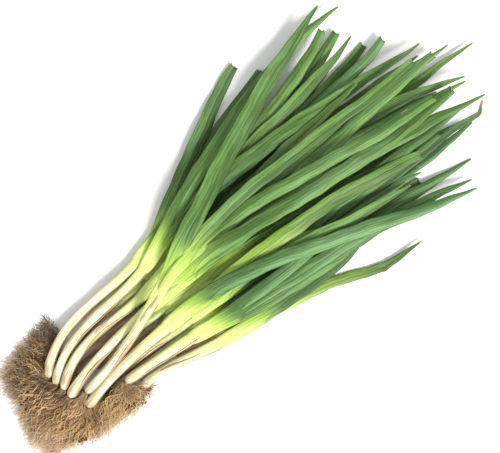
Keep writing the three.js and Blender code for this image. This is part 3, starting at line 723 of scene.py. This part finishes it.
def make_leaves(name, shank, leaves, material, rng):
    """One plant's leaves. Those that the tables don't name get a drawn tone."""
    shape = Shape("s", "u", "ridge", "tint", "hue", "pale", "dry")
    for letter, one in zip("abcd", leaves):
        drawn = rng.uniform(0, 1), rng.uniform(-0.95, 0.5), rng.uniform(5.5, 9.0), rng.choice([0.5, 1.0, 3.0])
        label = name[-2:] + letter
        tone, aside = TONES.get(label, drawn), ASIDE.get(label, (0, 1, 0))
        add_leaf(shape, shank, one, tone, aside, BREADTHS.get(label, 1.0), rng)
    return shape.object(name, material)


# ----------------------------------------------------------------------
# Shanks
# ----------------------------------------------------------------------

SHANK_SIDES = 28
SHANK_STEP = 2.4
# Rings of the rounded root end, and how far a shank goes on inside its leaves
END_RINGS = [0, 0.7, 1.5, 2.6, 4, 5.6]
SHANK_INSIDE = 14.0
SHEATH_AT = np.array([5.0, 10.0, 15.0])
# Plots whose lower plant lies in the others' shade, which is painted on its shank
SHADED_PLOTS = (1, 2, 3, 4)
SHANK_ANGLES = np.arange(SHANK_SIDES) / SHANK_SIDES * 2 * math.pi
# The distance to the neck, in cm, that gives dry skins the colours of the white part
FAR_FROM_NECK = 20.0
# Some shanks' strips of dry skin: the place round the shank, from 0 at its left to 1 at its right, and where
# the strip starts and ends
SKINS = {
    "04": [(0.5, 20, 60)], "07": [(0.15, 8, 40)], "09": [(0.85, 30, 95)],
    "10": [(0.35, 55, 85), (0.72, 35, 100)], "11": [(0.8, 10, 60)], "12": [(0.12, 25, 90)],
    "13": [(0.75, 20, 75), (0.5, 80, 112)],
}
# Shanks with a dry skin split open below them, laid in the gaps between shanks and given painted shade:
# where it starts and ends, how wide it is and how far to the left
OPEN_SKINS = {
    "02": (2, 80, 9.0, -2.0), "03": (2, 112, 17.0, 6.0), "04": (40, 125, 6.5, 5.0), "06": (2, 95, 11.0, 2.0),
}


def make_shank(name, p, shank, leaves, material, rng):
    """One shank, from its blunt bulb to inside its middle leaf, with its dry skins."""
    shape = Shape("s", "left", "u", "tint", "skin", "stain", "low", "shade")
    length = shank["length"]
    full = length + SHANK_INSIDE
    s = np.concatenate([END_RINGS, np.linspace(8, full, int(full / SHANK_STEP))])
    sheath = leaves[len(leaves) // 2]
    s_in = np.concatenate([shank["s"], length + SHEATH_AT])
    onward = lines_through(sheath["s"], np.column_stack([sheath["plan"], sheath["z"]]), SHEATH_AT)
    onward[:, :2] -= sheath["plan"][0] - shank["plan"][-1]
    line = lines_through(s_in, np.concatenate([np.column_stack([shank["plan"], shank["z"]]), onward]), s)
    w, t = shank_half_sizes(p["r"])(s, length)
    end = np.sqrt(np.clip(1 - ((5 - s) / 5).clip(0, 1) ** 2 * 0.93, 0, 1))
    blunt = np.sqrt(1 - 0.75 * np.clip((ROUNDED_END - s) / ROUNDED_END, 0, 1) ** 2)
    # it thins out where the leaves' bases come out of it
    thin = smooth((s - length + SHANK_INSIDE) / 26)
    w, t = w * end / blunt * (1 - 0.5 * thin), t * end / blunt * (1 - 0.6 * thin)
    # shallow lengthwise facets, where outer sheaths lie over inner ones
    angles = SHANK_ANGLES[None, :]
    furrow = sum(
        0.022 * np.cos(n * angles + rng.uniform(0, TURN) + waves(s, rng, (140, 0.6))[:, None])
        for n in (2, 3, 5, 7)
    )
    swell = 1 + waves(s, rng, (48, 0.02), (90, 0.02))[:, None] + furrow
    u, v = np.cos(angles) * w[:, None] * swell, np.sin(angles) * t[:, None] * swell
    rings = rings_of(line[:, :2], line[:, 2], u, v, np.zeros(len(s)))
    around = np.broadcast_to(SHANK_ANGLES / math.pi - 1, (len(s), SHANK_SIDES))
    stain = smooth(1 - s / rng.uniform(14, 34))
    # painted shade on the sides and underside, more on the right
    low = smooth((0.76 - 0.16 * np.cos(angles) - np.sin(angles)) / 0.4) * (0.68 - 0.2 * np.cos(angles))
    # the lower plants in the others' shade get painted shade
    shade = 0.6 if p["layer"] == "lower" and p["plot"] in SHADED_PLOTS else 0.0
    tint = rng.uniform(0, 1)
    shape.tube(
        rings, s=s / 10, left=(length - s) / 10, u=np.abs(around) * 3, tint=tint, stain=stain, low=low,
        shade=shade,
    )
    count = rng.integers(0, 3)
    drawn = [(rng.uniform(0.1, 0.9), rng.uniform(4, 40), rng.uniform(40, 110)) for _ in range(count)]
    for at, low, high in SKINS.get(name[-2:], drawn):
        add_skin(shape, s, line, w, t, at, low, high, rng)
    if name[-2:] in OPEN_SKINS:
        add_open_skin(shape, s, line, *OPEN_SKINS[name[-2:]], rng)
    return shape.object(name, material)


def add_open_skin(shape, s, line, low, high, reach, aside, rng):
    """A dry outer skin, split open and crumpled, that lies under the shank from low to high: a dark sheet in
    the gap beside it, with painted shade.
    """
    mask = (s > low) & (s < high)
    a = s[mask]
    share = (a - a[0]) / (a[-1] - a[0])
    across = np.cos(np.linspace(0, math.pi, 19))[None, :]
    half = reach * np.sin(np.pi * np.clip(share, 0.04, 0.96)) ** 0.35 + waves(a, rng, (21, 0.9), (8, 0.4))
    bend = waves(a, rng, (30, 1.5))[:, None]
    creases = ((5, 0.5), (11, 0.5), (23, 0.25))
    height = 1.9 + sum(h * np.sin(across * f + rng.uniform(0, TURN) + bend) for f, h in creases)
    left = across_of(line[mask, :2])
    place = line[mask, None, :2] + left[:, None, :] * (across * half[:, None] + aside)[..., None]
    over = np.concatenate([place, (height + 0.15)[..., None]], -1)
    under = np.concatenate([place, (height - 0.15)[..., None]], -1)[:, ::-1]
    marks = np.broadcast_to(np.concatenate([across, across[:, ::-1]], 1) * 1.5, (len(a), 38))
    rings = np.concatenate([over, under], 1)
    # shade=1 gives the skin the shanks' painted shade
    shape.tube(rings, s=a / 10, left=FAR_FROM_NECK, u=marks, tint=0.5, skin=0.8, shade=1.0)


def add_skin(shape, s, line, w, t, at, low, high, rng):
    """A strip of dry papery skin stuck to the shank from low to high."""
    mask = (s > low) & (s < high)
    a = s[mask]
    share = (a - a[0]) / (a[-1] - a[0])
    centre = at * math.pi + waves(a, rng, (70, 0.25))
    half = rng.uniform(0.22, 0.45) * np.sin(np.pi * np.clip(share, 0.02, 0.98)) ** 0.5
    half = np.clip(half + waves(a, rng, (9, 0.03)), 0.03, None)
    turns = np.array([-1, -0.5, 0, 0.5, 1, 0.5, 0, -0.5])
    lift = np.array([0.1, 0.32, 0.36, 0.32, 0.1, -0.3, -0.3, -0.3])
    angle = centre[:, None] - half[:, None] * turns
    raised = lift + waves(a, rng, (13, 0.08))[:, None] * (lift > 0)
    u = np.cos(angle) * (w[mask][:, None] * 1.03 + raised)
    v = np.sin(angle) * (t[mask][:, None] * 1.03 + raised)
    rings = rings_of(line[mask, :2], line[mask, 2], u, v, np.zeros(len(a)))
    turns = np.broadcast_to(turns, angle.shape)
    shape.tube(rings, s=a / 10, left=FAR_FROM_NECK, u=turns, tint=0.5, skin=1.0)


# ----------------------------------------------------------------------
# Roots
# ----------------------------------------------------------------------

ROOTS = 470
ROOT_POINTS = 15
ROOT_SIDES = 3
ROOT_LOWEST = 0.9
# Shares of the roots that stay short and that stray past their plot
SHORT_SHARE, STRAY_SHARE = 0.45, 0.1
# Wavelengths and heights of their long bends, shorter curls and crimps
ROOT_WAVES = ((70, 5.0), (30, 2.8), (13, 1.2))
# How far from the bulb the roots reach their outer colour
PALE_FROM = 55.0
# The tufts' outline is drawn in at its far corner, and goes out beside the first plant's shank
CORNER_X, CORNER_Y, CORNER_SPAN, CORNER_IN = -255, 10, 15, 8
FIRST_OUT = 8


def root_height(layer, distance, share):
    given = ROOT_HEIGHTS[layer]
    outward = smooth((distance - given["from"]) / (given["to"] - given["from"]))
    low, high = given["low"], given["high"]
    return mix(mix(low[0], low[1], outward), mix(high[0], high[1], outward), share)


def left_of_fence(place, fence):
    inner, outer = vec(fence[0]), vec(fence[1])
    along = unit(outer - inner)
    d = place - inner
    return along[0] * d[..., 1] - along[1] * d[..., 0]


def add_roots(shape, p, core, core_z, fences, rng):
    """Fine roots that curl outward from under the bulb to the edge of their plot."""
    n, m = ROOTS, ROOT_POINTS
    share = np.linspace(0, 1, m)[None, :]
    edge_share = rng.uniform(-0.08, 1.08, n)[:, None]
    edge = mix(vec(fences[0][1]), vec(fences[1][1]), edge_share)
    reach = np.where(rng.random(n) < SHORT_SHARE, rng.uniform(0.4, 0.8, n), rng.uniform(0.72, 1.0, n))
    # the two tufts by the lower right edge stray furthest
    stray = 1.35 if p["plot"] + (p["layer"] == "lower") > 5 else 1.1
    reach = np.where(rng.random(n) < STRAY_SHARE, rng.uniform(1.0, stray, n), reach)[:, None]
    end = core + (edge - core) * reach
    ahead = end - core
    far = np.hypot(ahead[:, 0], ahead[:, 1])[:, None]
    ahead = ahead / far
    corner = np.exp(-(((edge[:, 1:2] - CORNER_Y) / CORNER_SPAN) ** 2)) * (edge[:, 0:1] < CORNER_X)
    side = (p["plot"] == 0) * (p["layer"] == "lower") * np.clip(1 - edge_share, 0, 1)
    far = far - CORNER_IN * corner + FIRST_OUT * side
    left = np.column_stack([-ahead[:, 1], ahead[:, 0]])
    start_side = rng.uniform(-CORE_RADIUS, CORE_RADIUS, n)[:, None]
    rim = np.sqrt(np.clip(1 - (start_side / CORE_RADIUS) ** 2, 0.1, 1))
    start_up = rng.uniform(-3.0, 3.0, n)[:, None] * rim
    distance = far * share
    wander = np.zeros((n, m))
    rise = np.zeros((n, m))
    for wavelength, height in ROOT_WAVES:
        phase = rng.uniform(0, TURN, (n, 1))
        strength = rng.uniform(0.3, 1.4, (n, 1)) * height
        stretch = rng.uniform(0.75, 1.3, (n, 1)) * wavelength
        wander += strength * np.sin(TURN * distance / stretch + phase)
        rise += 0.35 * strength * np.sin(TURN * distance / stretch + phase + rng.uniform(0, TURN, (n, 1)))
    grow = smooth(distance / 16)
    sideways = start_side * (1 - smooth(distance / 22)) + wander * grow
    height_share = rng.uniform(0, 1, (n, 1)) ** 0.85
    free = root_height(p["layer"], distance, height_share)
    z = mix(core_z + start_up, free, smooth(distance / 14)) + rise * grow
    if p["layer"] == "upper":
        z -= smooth((share - 0.55) / 0.45) * (free - 2.0) * rng.uniform(0.1, 0.85, (n, 1))
    z = np.maximum(z, ROOT_LOWEST)
    x = core[0] + ahead[:, 0:1] * distance + left[:, 0:1] * sideways
    y = core[1] + ahead[:, 1:2] * distance + left[:, 1:2] * sideways
    line = np.stack([x, y, z], -1)
    radius = (0.17 + 0.4 * rng.uniform(0, 1, (n, 1)) ** 1.6) * mix(1.0, 0.4, share**1.5)
    ahead3 = np.gradient(line, axis=1)
    ahead3 /= np.linalg.norm(ahead3, axis=2)[..., None]
    across = np.cross(ahead3, np.array([0.0, 0.0, 1.0]))
    across /= np.maximum(np.linalg.norm(across, axis=2)[..., None], 1e-6)
    above = np.cross(across, ahead3)
    tint = np.clip(rng.normal(0.44 + 0.36 * (p["plot"] > 3), 0.42, n), 0, 0.92)
    tint[rng.random(n) < 0.08] = 1.0
    twist = rng.uniform(0, TURN, (n, 1, 1))
    angles = np.arange(ROOT_SIDES)[None, None, :] * 2 * math.pi / ROOT_SIDES + twist
    rings = line[:, :, None, :] + radius[..., None, None] * (
        -across[:, :, None, :] * np.cos(angles)[..., None] + above[:, :, None, :] * np.sin(angles)[..., None]
    )
    for i in range(n):
        out = np.clip(distance[i] / PALE_FROM, 0, 1) * (1 - 0.7 * side[i] ** 0.5)
        shape.tube(rings[i], tint=tint[i], out=out, crumb=0.45 * side[i, 0])


def add_mat(shape, p, core, fences, rng):
    """The matted inside of the tuft, ridged lengthwise, that the loose roots lie on."""
    middle = mix(vec(fences[0][1]), vec(fences[1][1]), 0.5)
    ahead = unit(middle - core)
    left = left_of(ahead)
    length = 0.8 * length_of(middle - core)
    rings_count, half_count = 22, 18
    share = np.linspace(0, 1, rings_count)[:, None]
    place = core + ahead * share * length
    room = np.minimum(left_of_fence(place, fences[0]), -left_of_fence(place, fences[1]))[:, None]
    half = mix(0.9 * CORE_RADIUS, room - 0.1, share)
    bottom = root_height(p["layer"], share * length, 0) - 1
    top = mix(root_height(p["layer"], share * length, 0.72), bottom + 1.4, share**2)
    across = np.cos(np.linspace(0, math.pi, half_count))[None, :]
    distance = share * length
    bumps = sum(
        h * np.sin(across * f + rng.uniform(0, TURN) + waves(distance, rng, (22, 0.7), (9, 0.35)))
        for f, h in ((9, 0.14), (17, 0.12), (31, 0.08))
    )
    up = (1 - 0.65 * across**2) * (0.8 + bumps) + rng.uniform(-0.05, 0.05, (rings_count, half_count))
    ragged = share**3 * (rng.uniform(-2.5, 2.5, (1, half_count)) - 6 * across**2)
    x = place[:, 0:1] + left[0] * across * half + ahead[0] * ragged
    y = place[:, 1:2] + left[1] * across * half + ahead[1] * ragged
    over = np.stack([x, y, mix(bottom, top, up)], -1)
    under = over[:, ::-1][:, 1:-1].copy()
    under[..., 2] = bottom
    shape.tube(np.concatenate([over, under], 1), tint=-0.6, out=distance[:, 0] / PALE_FROM)


def add_lump(shape, centre, size, rng, **values):
    """A small rough lump: a twenty-sided solid, each corner pulled in or out."""
    g = (1 + 5**0.5) / 2
    corners = np.array([
        (-1, g, 0), (1, g, 0), (-1, -g, 0), (1, -g, 0), (0, -1, g), (0, 1, g),
        (0, -1, -g), (0, 1, -g), (g, 0, -1), (g, 0, 1), (-g, 0, -1), (-g, 0, 1),
    ]) / (1 + g * g) ** 0.5
    faces = [
        (0, 11, 5), (0, 5, 1), (0, 1, 7), (0, 7, 10), (0, 10, 11), (1, 5, 9), (5, 11, 4), (11, 10, 2),
        (10, 7, 6), (7, 1, 8), (3, 9, 4), (3, 4, 2), (3, 2, 6), (3, 6, 8), (3, 8, 9), (4, 9, 5), (2, 4, 11),
        (6, 2, 10), (8, 6, 7), (9, 8, 1),
    ]
    points = corners * rng.uniform(0.65, 1.2, (12, 1)) * size * rng.uniform(0.7, 1.15, 3) + centre
    shape.add(points, triangles=faces, **values)


def add_soil(shape, p, core, fences, rng):
    """Crumbs of soil caught in the roots, most of them on the side plots near the bulbs."""
    heavy = p["plot"] == 0
    for _ in range(110 if heavy else 14):
        out = rng.uniform(0.05, 0.75 if heavy else 0.5)
        edge = mix(vec(fences[0][1]), vec(fences[1][1]), rng.uniform(0.05, 0.95))
        place = core + (edge - core) * out
        distance = length_of(place - core)
        z = root_height(p["layer"], distance, rng.uniform(0.5, 1.0))
        size = rng.uniform(0.4, 1.1) * (1.3 if heavy else 1.0)
        add_lump(shape, np.array([*place, max(z, size + 0.4)]), size, rng, tint=0.2, out=0.2, crumb=1.0)


def make_roots(name, p, shank, material, rng):
    """One tuft: a lump under the bulb, a mat, loose roots and crumbs of soil."""
    shape = Shape("tint", "out", "crumb")
    fences = FENCES[p["layer"]][p["plot"] : p["plot"] + 2]
    outward = unit(shank["plan"][0] - shank["plan"][1])
    core = shank["plan"][0] + outward * (CORE_RADIUS + CORE_GAP)
    core_z = shank["z"][0]
    base = np.array([*(shank["plan"][0] + outward), core_z])
    add_lump(shape, base, CORE_RADIUS, rng, tint=0.35)
    add_mat(shape, p, core, fences, rng)
    add_roots(shape, p, shank["plan"][0] + outward * 0.5, core_z, fences, rng)
    add_soil(shape, p, core, fences, rng)
    return shape.object(name, material)


# ----------------------------------------------------------------------
# The bunch
# ----------------------------------------------------------------------

# The lower plants' leaves get a darker copy of the leaf look: painted shade for lying under the others
leaf_looks = {
    "lower": leaf_look(
        "leaf_lower", (0.055, 0.12, 0.03), (0.135, 0.27, 0.07), (0.1, 0.225, 0.11), (0.14, 0.21, 0.04)
    ),
    "upper": leaf_look(
        "leaf_upper", (0.065, 0.15, 0.03), (0.17, 0.33, 0.08), (0.135, 0.29, 0.14), (0.2, 0.3, 0.055)
    ),
}
shank_material = shank_look("shank")
root_material = root_look("root")

for index, (p, shank, leaves) in enumerate(lay_out()):
    number = f"{index + 1:02d}"
    rng = np.random.default_rng(100 + index)
    made = {
        "shank": make_shank(f"stem_{number}", p, shank, leaves, shank_material, rng),
        "leaves": make_leaves(f"blades_{number}", shank, leaves, leaf_looks[p["layer"]], rng),
        "roots": make_roots(f"rootlets_{number}", p, shank, root_material, rng),
    }
    for kind, piece in made.items():
        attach(piece, "root")
        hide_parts(f"{kind}_{number}")

# ----------------------------------------------------------------------
# Table, light and camera
# ----------------------------------------------------------------------

scene = bpy.context.scene

TABLE_HALF = 4
table_corners = [(x * TABLE_HALF, y * TABLE_HALF, 0) for x, y in ((-1, -1), (1, -1), (1, 1), (-1, 1))]
floor_mesh = bpy.data.meshes.new("table")
floor_mesh.from_pydata(table_corners, [], [(0, 1, 2, 3)])
table = bpy.data.objects.new("table", floor_mesh)
scene.collection.objects.link(table)
table_look = Look("table")
table_look.set(Base_Color=(0.9, 0.9, 0.9), Roughness=0.8)
table_look.shader.inputs["Specular IOR Level"].default_value = 0.1
floor_mesh.materials.append(table_look.material)

world = bpy.data.worlds.new("studio")
scene.world = world
world.use_nodes = True
world.node_tree.nodes["Background"].inputs[0].default_value = (1.0, 1.0, 1.0, 1.0)
world.node_tree.nodes["Background"].inputs[1].default_value = 0.8


def add_sun(name, direction, strength, angle, colour):
    data = bpy.data.lights.new(name, "SUN")
    data.energy = strength
    data.angle = math.radians(angle)
    data.color = colour
    sun = bpy.data.objects.new(name, data)
    scene.collection.objects.link(sun)
    sun.rotation_mode = "QUATERNION"
    sun.rotation_quaternion = Vector(direction).to_track_quat("-Z", "Y")


add_sun("key", (0.0, 0.75, -1.0), 3.4, 18, (1.0, 0.985, 0.95))

# Straight above, with the bunch turned in the picture as in the photo
PIXEL = 0.0009
PICTURE_WIDTH = 500
SENSOR = 36
DISTANCE = 1.4
PICTURE_CENTRE = (0.0065, -0.006)
picture_turn = math.radians(40)
camera_data = bpy.data.cameras.new("camera")
camera_data.sensor_width = SENSOR
camera_data.lens = SENSOR * DISTANCE / (PICTURE_WIDTH * PIXEL)
camera_data.clip_start = 0.05
camera = bpy.data.objects.new("camera", camera_data)
scene.collection.objects.link(camera)
right = Vector((math.cos(picture_turn), -math.sin(picture_turn), 0))
up = Vector((math.sin(picture_turn), math.cos(picture_turn), 0))
axes = Matrix((right, up, Vector((0, 0, 1)))).transposed().to_4x4()
axes.translation = Vector((*PICTURE_CENTRE, DISTANCE))
camera.matrix_world = axes
scene.camera = camera

scene.view_settings.view_transform = "Standard"
scene.view_settings.look = "None"
scene.view_settings.exposure = 0.0
